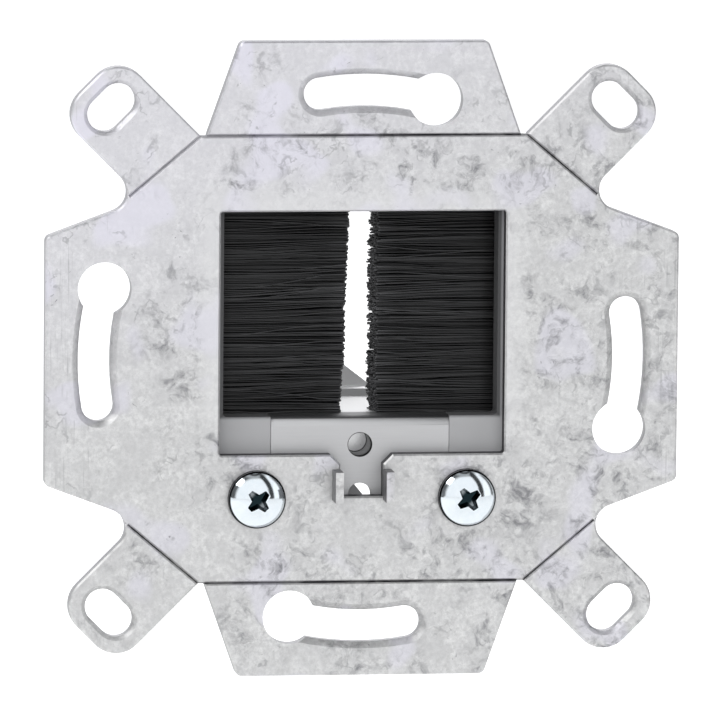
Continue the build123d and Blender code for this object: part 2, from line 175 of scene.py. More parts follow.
# %% Camera at the photograph's angle
PHOTO_SIZE = 720
PLATE_CENTRE_X_PX = 360.6
PLATE_CENTRE_Y_PX = 357.2
PX_PER_MM = 8.98
VIEW_AZIMUTH = math.radians(-7.8)
VIEW_ELEVATION = math.radians(6.8)
CAMERA_DISTANCE = 1.2
SENSOR_MM = 36.0

back = Vector((
    math.sin(VIEW_AZIMUTH) * math.cos(VIEW_ELEVATION),
    -math.cos(VIEW_AZIMUTH) * math.cos(VIEW_ELEVATION),
    math.sin(VIEW_ELEVATION),
))
right = Vector((0, 0, 1)).cross(back).normalized()
up = back.cross(right)
roll = math.atan2(up.x, right.x) / 2
rolled_right = right * math.cos(roll) + up * math.sin(roll)
rolled_up = up * math.cos(roll) - right * math.sin(roll)

mm_per_px = MM / PX_PER_MM
target = (
    rolled_right * (PHOTO_SIZE / 2 - PLATE_CENTRE_X_PX) * mm_per_px
    + rolled_up * (PLATE_CENTRE_Y_PX - PHOTO_SIZE / 2) * mm_per_px
)
camera_data = bpy.data.cameras.new("camera")
camera_data.sensor_width = SENSOR_MM
camera_data.lens = SENSOR_MM * CAMERA_DISTANCE / (PHOTO_SIZE * mm_per_px)
camera_data.clip_start = 0.05
camera_data.clip_end = 50.0
camera = bpy.data.objects.new("camera", camera_data)
bpy.context.scene.collection.objects.link(camera)
camera.matrix_world = Matrix((
    (rolled_right.x, rolled_up.x, back.x, target.x + back.x * CAMERA_DISTANCE),
    (rolled_right.y, rolled_up.y, back.y, target.y + back.y * CAMERA_DISTANCE),
    (rolled_right.z, rolled_up.z, back.z, target.z + back.z * CAMERA_DISTANCE),
    (0, 0, 0, 1),
))
bpy.context.scene.camera = camera
print("lens:", round(camera_data.lens, 1), "mm, roll:", round(math.degrees(roll), 2), "degrees")

# %% [markdown]
# ## Studio
# Small bright metal parts are photographed in a light tent: white sheets all round, so that the
# metal mirrors something pale. What the tent leaves open turns into the dark lines that draw the
# metal's edges. Here the world is that tent, and its level is a formula of the direction. It is
# pale all round and open past the plate's plane on the left, above and on the right, it has a slot
# at the top, and on the right a brighter sheet hangs beyond a dark seam. The camera itself sees
# pure white. Two lamps add what a tent can't: a key light from the upper left and a light from
# behind and above.

# %% The tent as a world
TENT_LEVEL = 1.13
OPEN_LEVEL = 0.12
TOP_LEVEL = 0.45
SLOT_LEVEL = 0.04
ZENITH_LEVEL = 0.40
RIGHT_SHEET_LEVEL = 1.25
SEAM_LEVEL = 0.05
SEAM_AZIMUTH = math.radians(50.0)
SEAM_HALF_WIDTH = 0.13

scene = bpy.context.scene
scene.view_settings.view_transform = "Standard"
world = bpy.data.worlds.new("light_tent")
scene.world = world
world.use_nodes = True
sky = world.node_tree
sky.nodes.clear()
toward = add_node(sky, "TexCoord", out="Generated")
x, y, z = add_node(sky, "SeparateXYZ", (toward,)).outputs
# Upwards and to the left: where height minus x is large
leftward = add_node(sky, "Math", (z, x), out=0, operation="SUBTRACT")
# The seam is an upright plane through the part, so the distance from it is a dot product
seam_normal = (math.cos(SEAM_AZIMUTH), math.sin(SEAM_AZIMUTH), 0.0)
across_seam = add_node(
    sky, "VectorMath", (toward, seam_normal), out="Value", operation="DOT_PRODUCT"
)
off_seam = distance_from(sky, across_seam)

tent = TENT_LEVEL
for amount, level in (
    # Open past the plate's plane, on the left and above
    (zone(sky, (y, -0.46, -0.28), (y, 0.30, 0.10), (leftward, 0.30, 0.75)), OPEN_LEVEL),
    # The top is dim, with a nearly black slot round a paler patch straight above
    (zone(sky, (z, 0.88, 0.95)), TOP_LEVEL),
    (zone(sky, (z, 0.962, 0.974)), SLOT_LEVEL),
    (zone(sky, (z, 0.990, 0.996)), ZENITH_LEVEL),
    # On the right a brighter sheet, open past the plate's plane too, and the seam before it
    (zone(sky, (x, 0.76, 0.80)), RIGHT_SHEET_LEVEL),
    (zone(sky, (y, -0.16, -0.02), (y, 0.55, 0.35), (x, 0.50, 0.70)), OPEN_LEVEL),
    (
        zone(sky, (off_seam, 1.3 * SEAM_HALF_WIDTH, 0.7 * SEAM_HALF_WIDTH), (x, 0.15, 0.25)),
        SEAM_LEVEL,
    ),
):
    tent = add_node(sky, "Mix", {0: amount, 2: tent, 3: level}, out=0, data_type="FLOAT")

# Rays from the camera find plain white, and all others find the tent
seen = add_node(sky, "LightPath", out="Is Camera Ray")
strength = add_node(sky, "Mix", {0: seen, 2: tent, 3: 1.0}, out=0, data_type="FLOAT")
cool_white = add_node(
    sky, "Mix", {0: seen, 6: linear("#fcfdff"), 7: linear("#ffffff")}, out=2, data_type="RGBA"
)
backdrop = add_node(sky, "Background", {"Color": cool_white, "Strength": strength}, out=0)
add_node(sky, "OutputWorld", {"Surface": backdrop})
print("tent nodes:", len(sky.nodes))


# %% Lamps
def soft_box(name, toward_lamp, distance, width, height, radiance):
    """A rectangular lamp that faces the part: power is pi times area times radiance."""
    data = bpy.data.lights.new(name, "AREA")
    data.shape = "RECTANGLE"
    data.size = width
    data.size_y = height
    data.energy = math.pi * width * height * radiance
    lamp = bpy.data.objects.new(name, data)
    scene.collection.objects.link(lamp)
    direction = Vector(toward_lamp).normalized()
    lamp.location = direction * distance
    lamp.rotation_euler = direction.to_track_quat("Z", "Y").to_euler()


soft_box("key_light", (-0.70, -0.20, 0.69), distance=1.0, width=0.38, height=0.36, radiance=5.6)
soft_box("back_light", (0.10, 0.76, 0.64), distance=1.0, width=0.8, height=0.5, radiance=2.1)
print("lamps:", len(bpy.data.lights))

# %% Floor
FLOOR_GAP = 60 * MM
FLOOR_HALF_SIDE = 8.0
GLOW_SEEN = 0.42
GLOW_MIRRORED = 0.32

floor_z = cad_box[0].z - FLOOR_GAP
signs = ((-1, -1), (1, -1), (1, 1), (-1, 1))
corners = [(FLOOR_HALF_SIDE * i, FLOOR_HALF_SIDE * j, floor_z) for i, j in signs]
floor_mesh = bpy.data.meshes.new("floor")
floor_mesh.from_pydata(corners, [], [(0, 1, 2, 3)])
floor = bpy.data.objects.new("floor", floor_mesh)
scene.collection.objects.link(floor)
paper, tree, shader, _ = new_material("white_sweep", Base_Color=linear("#ebebeb"), Roughness=0.9)
shader.inputs["Emission Color"].default_value = linear("#ffffff")
# It glows a little for the camera and for mirrors, so that the pale paper shows as white
ray = add_node(tree, "LightPath").outputs
mirrored = add_node(
    tree, "Math", (ray["Is Glossy Ray"], ray["Is Transmission Ray"]), out=0, operation="MAXIMUM"
)
mirrored = add_node(tree, "Math", (mirrored, GLOW_MIRRORED), out=0, operation="MULTIPLY")
glow = add_node(
    tree, "Mix", {0: ray["Is Camera Ray"], 2: mirrored, 3: GLOW_SEEN}, out=0, data_type="FLOAT"
)
tree.links.new(glow, shader.inputs["Emission Strength"])
floor_mesh.materials.append(paper)
print("floor at z =", round(floor_z / MM, 1), "mm")

# %% [markdown]
# ## Bare zinc die casting
# The plate comes out of the die and gets no plating. The eye sees a pale grey, half matt skin with
# a fine restless mottling where the metal froze in grains, dark smudges and thin curls left by the
# die lubricant where the metal flowed, and a few smooth lilac fields where none stuck. A calmer
# band lies round the window, and painted shade darkens the window's own flanks. The other flanks
# get a lighter painted shade, painted shade lies in the score lines and as a contact shadow round
# the screw heads, and handling has left fine upright scratches on the side tabs. The smudges come
# from noise whose place is itself bent by noise, which is how flow marks arise, and the painted
# shade in the lines from the distance to each line.

# %% Zinc casting: where the stains gather
zinc, tree, shader, place = new_material("bare_zinc_die_casting", Metallic=1.0)


def bend(tree, place, size_mm, reach_mm):
    """The place moved by up to half the reach each way, by noise of the given size."""
    push = add_node(
        tree, "TexNoise", {"Vector": place, "Scale": per(size_mm), "Detail": 3.0, "Roughness": 0.6},
        out="Color",
    )
    push = add_node(tree, "VectorMath", (push, (0.5, 0.5, 0.5)), out=0, operation="SUBTRACT")
    reach = (reach_mm * MM,) * 3
    return add_node(tree, "VectorMath", (push, reach, place), out=0, operation="MULTIPLY_ADD")


flow = bend(tree, place, 5.0, 7.0)
# All four quarters at once: the place with its signs taken off
quarter = add_node(tree, "VectorMath", (place,), out=0, operation="ABSOLUTE")
across, depth, height = add_node(tree, "SeparateXYZ", (quarter,)).outputs

# More stains towards the lower right, where the metal reached the mould last, and along the rim
lean = add_node(tree, "VectorMath", (place, (3.2, 0.0, -1.8)), out="Value", operation="DOT_PRODUCT")
patches = add_node(tree, "TexNoise", {"Vector": place, "Scale": per(8.0), "Detail": 3.0}, out="Fac")
gather = add_node(tree, "Math", (patches, lean), out=0, operation="ADD")
outward = add_node(tree, "VectorMath", (place,), out="Value", operation="LENGTH")
rim_zone = zone(tree, (outward, 15 * MM, 21 * MM), (outward, 29 * MM, 24 * MM))
gather = add_node(tree, "Math", (rim_zone, 0.10, gather), out=0, operation="MULTIPLY_ADD")

# A calm pale band round the window, where the die's insert was polished, with an uneven edge
uneven = add_node(tree, "VectorMath", (bend(tree, place, 3.0, 3.0),), out=0, operation="ABSOLUTE")
uneven_x, _, uneven_z = add_node(tree, "SeparateXYZ", (uneven,)).outputs
signed_z = add_node(tree, "SeparateXYZ", (place,), out="Z")
calm = zone(
    tree, (uneven_x, 19.3 * MM, 16.9 * MM), (uneven_z, 20.2 * MM, 17.4 * MM),
    (signed_z, -11 * MM, -5 * MM),
)
print("zinc nodes so far:", len(tree.nodes))

# %% Zinc casting: stains and mottling
flow_noise = add_node(
    tree, "TexNoise", {"Vector": flow, "Scale": per(2.2), "Detail": 6.0, "Roughness": 0.68},
    out="Fac",
)
smudge = zone(tree, (flow_noise, 0.47, 0.74), (gather, 0.42, 0.64))

# Curls: thin pencil-like lines where bent noise passes its middle value
bent = bend(tree, place, 2.2, 3.0)
curl_noise = add_node(tree, "TexNoise", {"Vector": bent, "Scale": per(2.6)}, out="Fac")
curl_patches = add_node(
    tree, "TexNoise", {"Vector": flow, "Scale": per(4.0), "Detail": 3.0, "Roughness": 0.6},
    out="Fac",
)
curl = zone(tree, (distance_from(tree, curl_noise, 0.5), 0.040, 0.006), (curl_patches, 0.52, 0.66))

# Single dark specks, about a quarter of a millimetre across
speck_noise = add_node(
    tree, "TexNoise", {"Vector": flow, "Scale": per(0.75), "Detail": 3.0, "Roughness": 0.7},
    out="Fac",
)
speck_patches = add_node(tree, "TexNoise", {"Vector": place, "Scale": per(6.0)}, out="Fac")
speck = zone(tree, (speck_noise, 0.66, 0.76), (speck_patches, 0.48, 0.60))

stain = 0.0
for mark, strength in ((smudge, 0.85), (curl, 0.38), (speck, 0.90)):
    mark = add_node(tree, "Math", (mark, strength), out=0, operation="MULTIPLY")
    stain = add_node(tree, "Math", (stain, mark), out=0, operation="MAXIMUM")
calmed = zone(tree, (calm, 0.0, 1.0, 1.0, 0.35))
stain = add_node(tree, "Math", (stain, calmed), out=0, operation="MULTIPLY")

# Mottling all over: grains of about half a millimetre, clouds of 2 mm and lilac fields of 7 mm
grain_noise = add_node(
    tree, "TexNoise", {"Vector": place, "Scale": per(0.55), "Detail": 5.0, "Roughness": 0.80},
    out="Fac",
)
cloud_noise = add_node(
    tree, "TexNoise", {"Vector": flow, "Scale": per(2.4), "Detail": 5.0, "Roughness": 0.70},
    out="Fac",
)
field_noise = add_node(
    tree, "TexNoise", {"Vector": place, "Scale": per(7.0), "Detail": 1.0}, out="Fac"
)
grain = zone(tree, (grain_noise, 0.30, 0.70))
cloud = zone(tree, (cloud_noise, 0.34, 0.66))
field = zone(tree, (field_noise, 0.56, 0.66))
print("zinc nodes so far:", len(tree.nodes))

# %% Zinc casting: painted shade in the score lines and round the screws
SCORE_HEIGHT = 25.0 * MM
SCORE_TURN_X = 18.28 * MM
SCORE_TURN_SOFTNESS = 0.1 * MM
SLANT_NORMAL = (0.645, 0.0, 0.764)
SLANT_END_HEIGHT = 18.0 * MM
LEVEL_HALF_WIDTH = 0.16 * MM
SLANT_HALF_WIDTH = 0.10 * MM
SHADE_CORE = 0.3
FACE_DEPTH = 1.8 * MM
SCREW_SHADE_WIDTH = 0.06 * MM

# Each line is near one level: the level ones of the height, the slanted ones of a dot product
slanted = add_node(tree, "VectorMath", (quarter, SLANT_NORMAL), out="Value", operation="DOT_PRODUCT")
slant_level = SLANT_NORMAL[0] * SCORE_TURN_X + SLANT_NORMAL[2] * SCORE_HEIGHT
turn = (SCORE_TURN_X, SCORE_TURN_X + SCORE_TURN_SOFTNESS)
off_level = distance_from(tree, height, SCORE_HEIGHT)
off_slant = distance_from(tree, slanted, slant_level)
level_line = zone(
    tree, (off_level, LEVEL_HALF_WIDTH, SHADE_CORE * LEVEL_HALF_WIDTH), (across, turn[1], turn[0])
)
slant_line = zone(
    tree, (off_slant, SLANT_HALF_WIDTH, SHADE_CORE * SLANT_HALF_WIDTH), (across, turn[0], turn[1]),
    (height, SLANT_END_HEIGHT, SLANT_END_HEIGHT + 0.2 * MM),
)
lines = add_node(tree, "Math", (level_line, slant_line), out=0, operation="MAXIMUM")
# Painted shade, only below the face, in uneven amounts, and least at the upper left
uneven_groove_shade = add_node(
    tree, "TexNoise", {"Vector": place, "Scale": per(4.0), "Detail": 3.0, "Roughness": 0.6},
    out="Fac",
)
lower_right = add_node(
    tree, "VectorMath", (place, (1.0, 0.0, -1.0)), out="Value", operation="DOT_PRODUCT"
)
amount = zone(
    tree, (depth, FACE_DEPTH - 0.01 * MM, FACE_DEPTH - 0.06 * MM),
    (uneven_groove_shade, 0.35, 0.60, 0.55, 1.0), (lower_right, -44 * MM, -16 * MM, 0.32, 1.0),
)
painted_groove_and_contact_shade = add_node(tree, "Math", (lines, amount), out=0, operation="MULTIPLY")

# A ring of painted contact shadow where each screw head presses on the plate
head_low, head_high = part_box("right_fixing_screw")
head_radius = (head_high.x - head_low.x) / 2
head_centre = ((head_low.x + head_high.x) / 2, 0.0, (head_low.z + head_high.z) / 2)
mirrored_place = add_node(tree, "CombineXYZ", {"X": across, "Z": signed_z}, out=0)
from_screw = add_node(
    tree, "VectorMath", (mirrored_place, head_centre), out="Value", operation="DISTANCE"
)
ring = zone(tree, (from_screw, head_radius + SCREW_SHADE_WIDTH, head_radius))
painted_groove_and_contact_shade = add_node(tree, "Math", (painted_groove_and_contact_shade, ring), out=0, operation="MAXIMUM")
print("zinc nodes so far:", len(tree.nodes))

# %% Zinc casting: flanks and scratches
# Painted shade on the flanks, where the surface's own normal has little of Y
own_normal = add_node(tree, "TexCoord", out="Normal")
normal_y = add_node(tree, "SeparateXYZ", (own_normal,), out="Y")
facing = distance_from(tree, normal_y)
painted_flank_shade = zone(tree, (facing, 0.70, 0.40))
# Painted shade: inside the window and its notch the flanks are dark, on the fins less so
painted_window_wall_shade = zone(
    tree, (facing, 0.50, 0.20), (across, 16.6 * MM, 16.2 * MM), (height, 18.0 * MM, 17.6 * MM),
    (depth, 2.0 * MM, 2.4 * MM, 1.0, 0.35),
)

# Upright scratches on the side tabs: noise stretched fifty times along Z
stretched = add_node(tree, "Mapping", {"Vector": place, "Scale": (1.0, 1.0, 0.02)}, out=0)
scratch_noise = add_node(
    tree, "TexNoise", {"Vector": stretched, "Scale": per(0.32), "Detail": 3.0, "Roughness": 0.8},
    out="Fac",
)
scratch_patches = add_node(tree, "TexNoise", {"Vector": place, "Scale": per(3.0)}, out="Fac")
scratch = zone(
    tree, (scratch_noise, 0.56, 0.68), (across, 27 * MM, 31 * MM), (scratch_patches, 0.40, 0.60)
)
print("zinc nodes so far:", len(tree.nodes))

# %% Zinc casting: colour, roughness and relief
# Paler and more lilac towards the upper left
upper_left = add_node(
    tree, "VectorMath", (place, (-0.5, 0.0, 1.0)), out="Value", operation="DOT_PRODUCT"
)
paler_upper_left = zone(tree, (upper_left, 0.0, 42 * MM, 0.04, 0.50), (field, 0.0, 1.0, 0.7, 1.3))
# The last three layers are painted shade: on the flanks, on the window's walls, and in the lines and
# round the screws
paint(tree, shader, (grain, "#c3c3c2", "#e6e6e5"), relief=(grain, 0.35, 0.025), layers=(
    (cloud, 0.55, "#bebebe"),
    (paler_upper_left, 1.00, "#eae8f2"),
    (calm, 0.40, "#e2e2e2"),
    (field, 0.40, "#dedce8"),
    (stain, 1.00, "#77777b"),
    (scratch, 0.50, "#9a9a9c"),
    (painted_flank_shade, 0.75, "#8b8b8e"),
    (painted_window_wall_shade, 0.90, "#38383b"),
    (painted_groove_and_contact_shade, 1.00, "#48484b"),
))
# Stains are a little rougher than the grain under them
rough = add_node(tree, "MapRange", {"Value": grain, "To Min": 0.42, "To Max": 0.56}, out=0)
rough = add_node(tree, "Math", (stain, 0.12, rough), out=0, operation="MULTIPLY_ADD")
tree.links.new(rough, shader.inputs["Roughness"])
print("zinc nodes:", len(tree.nodes))

# %% [markdown]
# ## Grey moulding
# The frame behind the plate is a moulding in filled plastic, satin from a spark-eroded tool. The
# eye sees an even mid grey with a texture too fine to resolve, so it is drawn at 0.15 mm.

# %% Moulding material
moulding, tree, shader, place = new_material("satin_grey_moulding", Roughness=0.48, IOR=1.49)
spark = add_node(tree, "TexNoise", {"Vector": place, "Scale": per(0.15)}, out="Fac")
cloud = add_node(tree, "TexNoise", {"Vector": place, "Scale": per(6.0)}, out="Fac")
# Painted shade darkens the front strips beside the bristles
strip_x, strip_y, strip_z = add_node(tree, "SeparateXYZ", (place,)).outputs
painted_strip_shade = zone(
    tree, (distance_from(tree, strip_x), 15.65 * MM, 15.85 * MM, 0.85, 0.25),
    (strip_y, 4.2 * MM, 3.6 * MM), (strip_z, -7.0 * MM, -6.5 * MM),
)
paint(
    tree, shader, (cloud, "#adadae", "#b9b9ba"), relief=(spark, 0.3, 0.01),
    layers=[(painted_strip_shade, 1.0, "#2e2e30")],
)
print("moulding nodes:", len(tree.nodes))

# %% [markdown]
# ## Galvanised sheet
# The bracket is cut and bent from steel sheet with a thin zinc coat. Rolling leaves fine parallel
# lines along the strip, here across the bracket, so the noise is stretched sideways. Painted shade
# darkens a band over the bend, painted light brightens the lug at the far end, and painted shade
# darkens the wall of the bore for the cover's screw. Channels and nut are plain steel of other
# working.

# %% Galvanised sheet
BORE_RADIUS = 1.325 * MM
BORE_SOFTNESS = 0.10 * MM
nut_low, nut_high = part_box("cover_screw_nut")
bore_centre = ((nut_low.x + nut_high.x) / 2, 0.0, (nut_low.z + nut_high.z) / 2)


def painted_bore_shade(tree, place):
    """1 on the wall of the cover screw's bore: where the distance from its axis is its radius."""
    flat = add_node(tree, "VectorMath", (place, (1.0, 0.0, 1.0)), out=0, operation="MULTIPLY")
    from_axis = add_node(tree, "VectorMath", (flat, bore_centre), out="Value", operation="DISTANCE")
    off_wall = distance_from(tree, from_axis, BORE_RADIUS)
    return zone(tree, (off_wall, BORE_SOFTNESS, 0.3 * BORE_SOFTNESS))


sheet_steel, tree, shader, place = new_material("galvanised_steel_sheet", Metallic=1.0)
stretched = add_node(tree, "Mapping", {"Vector": place, "Scale": (0.04, 1.0, 1.0)}, out=0)
rolling = add_node(
    tree, "TexNoise", {"Vector": stretched, "Scale": per(0.25), "Detail": 4.0, "Roughness": 0.7},
    out="Fac",
)
dull = add_node(tree, "TexNoise", {"Vector": place, "Scale": per(5.0), "Detail": 3.0}, out="Fac")
_, sheet_y, sheet_z = add_node(tree, "SeparateXYZ", (place,)).outputs
# Painted light on the far lug, and painted shade over the bend
painted_lug_light = zone(tree, (sheet_y, 18.5 * MM, 20.5 * MM))
painted_bend_shade = zone(tree, (sheet_z, -6.95 * MM, -6.85 * MM), (sheet_y, 4.2 * MM, 3.2 * MM, 0.0, 0.8))
# Painted shade on the bore's wall, and over the bend, where the bristles shade the sheet
paint(
    tree, shader, (rolling, "#b6b6b7", "#d6d6d6"), (rolling, 0.48, 0.60), (rolling, 0.3, 0.008),
    layers=(
        (dull, 1.0, "#c6c6c7"),
        (painted_lug_light, 1.0, "#f4f4f4"),
        (painted_bore_shade(tree, place), 1.0, "#161618"),
        (painted_bend_shade, 1.0, "#4c4c4e"),
    ),
)
print("sheet nodes:", len(tree.nodes))

# %% Steel for the channels, the wires and the nut
# Strip for the channels: the same steel, its lines along Z, and drawn wire for the core
strip_steel, tree, shader, place = new_material("folded_steel_strip", Metallic=1.0)
stretched = add_node(tree, "Mapping", {"Vector": place, "Scale": (1.0, 1.0, 0.03)}, out=0)
drawn = add_node(
    tree, "TexNoise", {"Vector": stretched, "Scale": per(0.3), "Detail": 4.0, "Roughness": 0.7},
    out="Fac",
)
paint(tree, shader, (drawn, "#a0a1a4", "#bdbebf"), (drawn, 0.30, 0.45), (drawn, 0.3, 0.008))

# Turned steel for the cover screw's nut: bright at the bottom, with painted shade on the bore's wall
nut_steel, tree, shader, place = new_material("turned_free_cutting_steel", Metallic=1.0)
turning = add_node(
    tree, "TexNoise", {"Vector": place, "Scale": per(0.25), "Detail": 3.0, "Roughness": 0.6},
    out="Fac",
)
paint(
    tree, shader, (turning, "#dadadb", "#f0f0f0"), (turning, 0.24, 0.36),
    layers=[(painted_bore_shade(tree, place), 1.0, "#161618")],
)
print("steel materials:", strip_steel.name, nut_steel.name)

# %% [markdown]
# ## Bright screws and brass inserts
# The screws are zinc plated with a clear bluish passivation: smooth and mirror-like, with a trace
# of the turning and heading marks. The inserts are turned from brass.

# %% Bright zinc: places on a screw head
RIM_INSET = 0.22 * MM
RECESS_REACH = 1.50 * MM
LIT_ARMS = (-0.707, 0.0, 0.707)

bright_zinc, tree, shader, place = new_material("bright_blue_zinc_plating", Metallic=1.0)
screw_x, _, screw_z = head_centre
side_x, side_y, side_z = add_node(tree, "SeparateXYZ", (place,)).outputs
# Signed distances from the axis: the left screw is moved over by twice the right one's X
is_left = zone(tree, (side_x, 0.1 * MM, -0.1 * MM))
local_x = add_node(tree, "Math", (side_x, screw_x), out=0, operation="SUBTRACT")
local_x = add_node(tree, "Math", (is_left, 2 * screw_x, local_x), out=0, operation="MULTIPLY_ADD")
local_z = add_node(tree, "Math", (side_z, screw_z), out=0, operation="SUBTRACT")
local = add_node(tree, "CombineXYZ", {"X": local_x, "Z": local_z}, out=0)
from_axis = add_node(tree, "VectorMath", (local,), out="Value", operation="LENGTH")
along_arms = add_node(tree, "VectorMath", (local, LIT_ARMS), out="Value", operation="DOT_PRODUCT")
# Painted shade on the rim and in the recess, with a painted highlight left on two arms
painted_rim_shade = zone(tree, (from_axis, head_radius - RIM_INSET, head_radius - 0.6 * RIM_INSET))
painted_recess_shade = zone(
    tree, (side_y, head_low.y + 0.30 * MM, head_low.y + 0.42 * MM),
    (from_axis, RECESS_REACH + 0.05 * MM, RECESS_REACH),
    (distance_from(tree, along_arms), 0.45 * MM, 0.85 * MM, 1.0, 0.72),
)
print("screw head radius:", round(head_radius / MM, 2), "mm")

# %% Bright zinc: colour and gloss, and brass
# Painted shade makes the rolled rim nearly black, and the recess too, except on two of its arms,
# which are left paler as a painted highlight
plating = add_node(tree, "TexNoise", {"Vector": place, "Scale": per(0.6), "Detail": 3.0}, out="Fac")
paint(
    tree, shader, (plating, "#dbe4ea", "#eaf0f3"), (plating, 0.07, 0.15), (plating, 0.12, 0.02),
    layers=((painted_recess_shade, 1.0, "#1d2a2e"), (painted_rim_shade, 1.0, "#17191c")),
)

brass, tree, shader, place = new_material("turned_brass", Metallic=1.0)
turning = add_node(tree, "TexNoise", {"Vector": place, "Scale": per(0.2)}, out="Fac")
paint(tree, shader, (turning, "#c79c4c", "#e0bd72"), (turning, 0.22, 0.36))
print("fastener materials:", bright_zinc.name, brass.name)

# %% [markdown]
# ## Black nylon filament
# Each filament is extruded nylon, dyed black: smooth along its length, so it shows one soft
# highlight line. Where the knife cut it, the end is matt and greyer. A number stored on every
# filament sets how dark it is, because in a bundle no two sit at the same angle.

# %% Filament materials
nylon, tree, shader, place = new_material("black_nylon_filament", Roughness=0.38, IOR=1.53)
tone = add_node(tree, "Attribute", attribute_name="filament_tone", out="Fac")
frayed = add_node(tree, "Attribute", attribute_name="filament_fray", out="Fac")
# Painted shade: near the channel the bundle is dense, and it is drawn blackest there
from_middle = distance_from(tree, add_node(tree, "SeparateXYZ", (place,), out="X"))
painted_root_shade = zone(tree, (from_middle, 13.9 * MM, 14.9 * MM, 0.0, 0.85))
paint(
    tree, shader, (tone, "#0b0b0c", "#2b2b2c"),
    layers=((frayed, 1.0, "#6a6a6c"), (painted_root_shade, 1.0, "#030303")),
)

cut_nylon, tree, shader, _ = new_material("cut_nylon_end", Roughness=0.7, IOR=1.53)
tone = add_node(tree, "Attribute", attribute_name="filament_tone", out="Fac")
paint(tree, shader, (tone, "#2c2c2d", "#707072"))
print("filament materials:", nylon.name, cut_nylon.name)

# %% [markdown]
# ## Dressing the measured pieces
# The rigid pieces keep their measured form. Real edges are never perfectly sharp, and a sharp edge
# catches no light, so a small bevel is laid on them. The measured meshes are loose triangles, so a
# weld joins them first.

# %% Materials and edges on the measured pieces
FINISH = {
    "zinc_casting": zinc,
    "grey_moulding": moulding,
    "galvanised_sheet": sheet_steel,
    "channel_steel": strip_steel,
    "core_wire": strip_steel,
    "black_bristle": nylon,
    "bright_screw": bright_zinc,
    "brass_insert": brass,
    "nut_steel": nut_steel,
}
for entry in frame["record"]["subparts"]:
    piece = nodes[entry["node"]]
    for holder in piece.material_slots:
        holder.material = FINISH[entry["material_slot"]]

EDGE_RADIUS = {
    "support_plate": 0.09 * MM,
    "brush_frame": 0.10 * MM,
    "strain_relief_bracket": 0.08 * MM,
    "left_brush_channel": 0.05 * MM,
    "right_brush_channel": 0.05 * MM,
    "left_fixing_screw": 0.06 * MM,
    "right_fixing_screw": 0.06 * MM,
}
for name, radius in EDGE_RADIUS.items():
    weld = nodes[name].modifiers.new("weld", "WELD")
    weld.merge_threshold = 0.001 * MM
    bevel = nodes[name].modifiers.new("soft_edges", "BEVEL")
    bevel.width = radius
    bevel.segments = 2
    bevel.limit_method = "ANGLE"
    bevel.angle_limit = math.radians(35)
    bevel.harden_normals = True
print("softened edges:", ", ".join(EDGE_RADIUS))

# %% [markdown]
# ## Bristles
# A strip brush is filaments folded in two over a core wire and pinched in a folded channel. Each
# filament here is one folded line: in along the front, round the wire, out along the back. Past
# the channel's mouth the bundle spreads and leans, in small fans and with a few strays, and the
# knife's cut at the gap is ragged. All filaments are computed together as arrays: a line of
# stations for each, then a ring of points round every station.

# %% A mesh from arrays
def mesh_from_arrays(name, points, quads):
    """A mesh of quads: points is an array of n by 3 and quads an array of m by 4 point numbers."""
    mesh = bpy.data.meshes.new(name)
    mesh.vertices.add(len(points))
    mesh.vertices.foreach_set("co", points.astype(np.float32).ravel())
    mesh.loops.add(quads.size)
    mesh.loops.foreach_set("vertex_index", quads.astype(np.int32).ravel())
    mesh.polygons.add(len(quads))
    mesh.polygons.foreach_set("loop_start", np.arange(0, quads.size, 4, dtype=np.int32))
    mesh.update(calc_edges=True)
    return mesh


# %% The bundle of filaments
FILAMENT_RADIUS = 0.09 * MM
RING_SIDES = 4
FOLDED_FILAMENTS = 860
CHANNEL_WALL = 0.6 * MM
LEG_SHARES = np.array([1.0, 0.985, 0.86, 0.7, 0.49, 0.405, 0.335, 0.17, 0.07])
FOLD_ANGLES = np.radians([60.0, 0.0, -60.0])

# Where the knife cut each brush, read from the photograph: heights, and the cut's X there, in mm
CUT_HEIGHTS = (-7.4, -4.3, -1.7, 1.3, 5.0, 10.5, 14.0, 18.2)
LEFT_CUT = (-1.62, -1.58, -1.34, -1.22, -1.24, -1.00, -0.86, -0.80)
RIGHT_CUT = (1.62, 1.34, 1.30, 1.50, 1.38, 1.34, 1.48, 1.66)
# How far the right brush's cut slants back from its deepest to its front filaments
RIGHT_CUT_SLANT = 0.75 * MM
SHELF_TOP = -6.6 * MM
SHELF_REACH = (10.2 * MM, 11.2 * MM)

# How ragged the knife's cut is: scatter, small groups, and single filaments that are much too short
CUT_SCATTER_MM = 0.12
GROUP_DEPTH_MM = 0.16
SHORT_SHARE = 0.06
SHORT_DEPTH_MM = 0.35
# How the filaments lean beyond the channel: rise over run, and the lengths over which it sets in
STRAY_SHARE = 0.035
FAN_SLOPE = 0.024
RIPPLE_SLOPE = 0.018
SLOPE_SCATTER = 0.012
LEFT_LEAN = 0.012
LOW_EDGE_MM = 2.5
PINCH_LENGTH = 1.8 * MM
CHANNEL_REACH = 4.6 * MM
FAN_LENGTH = 10 * MM
SPREAD = 0.42


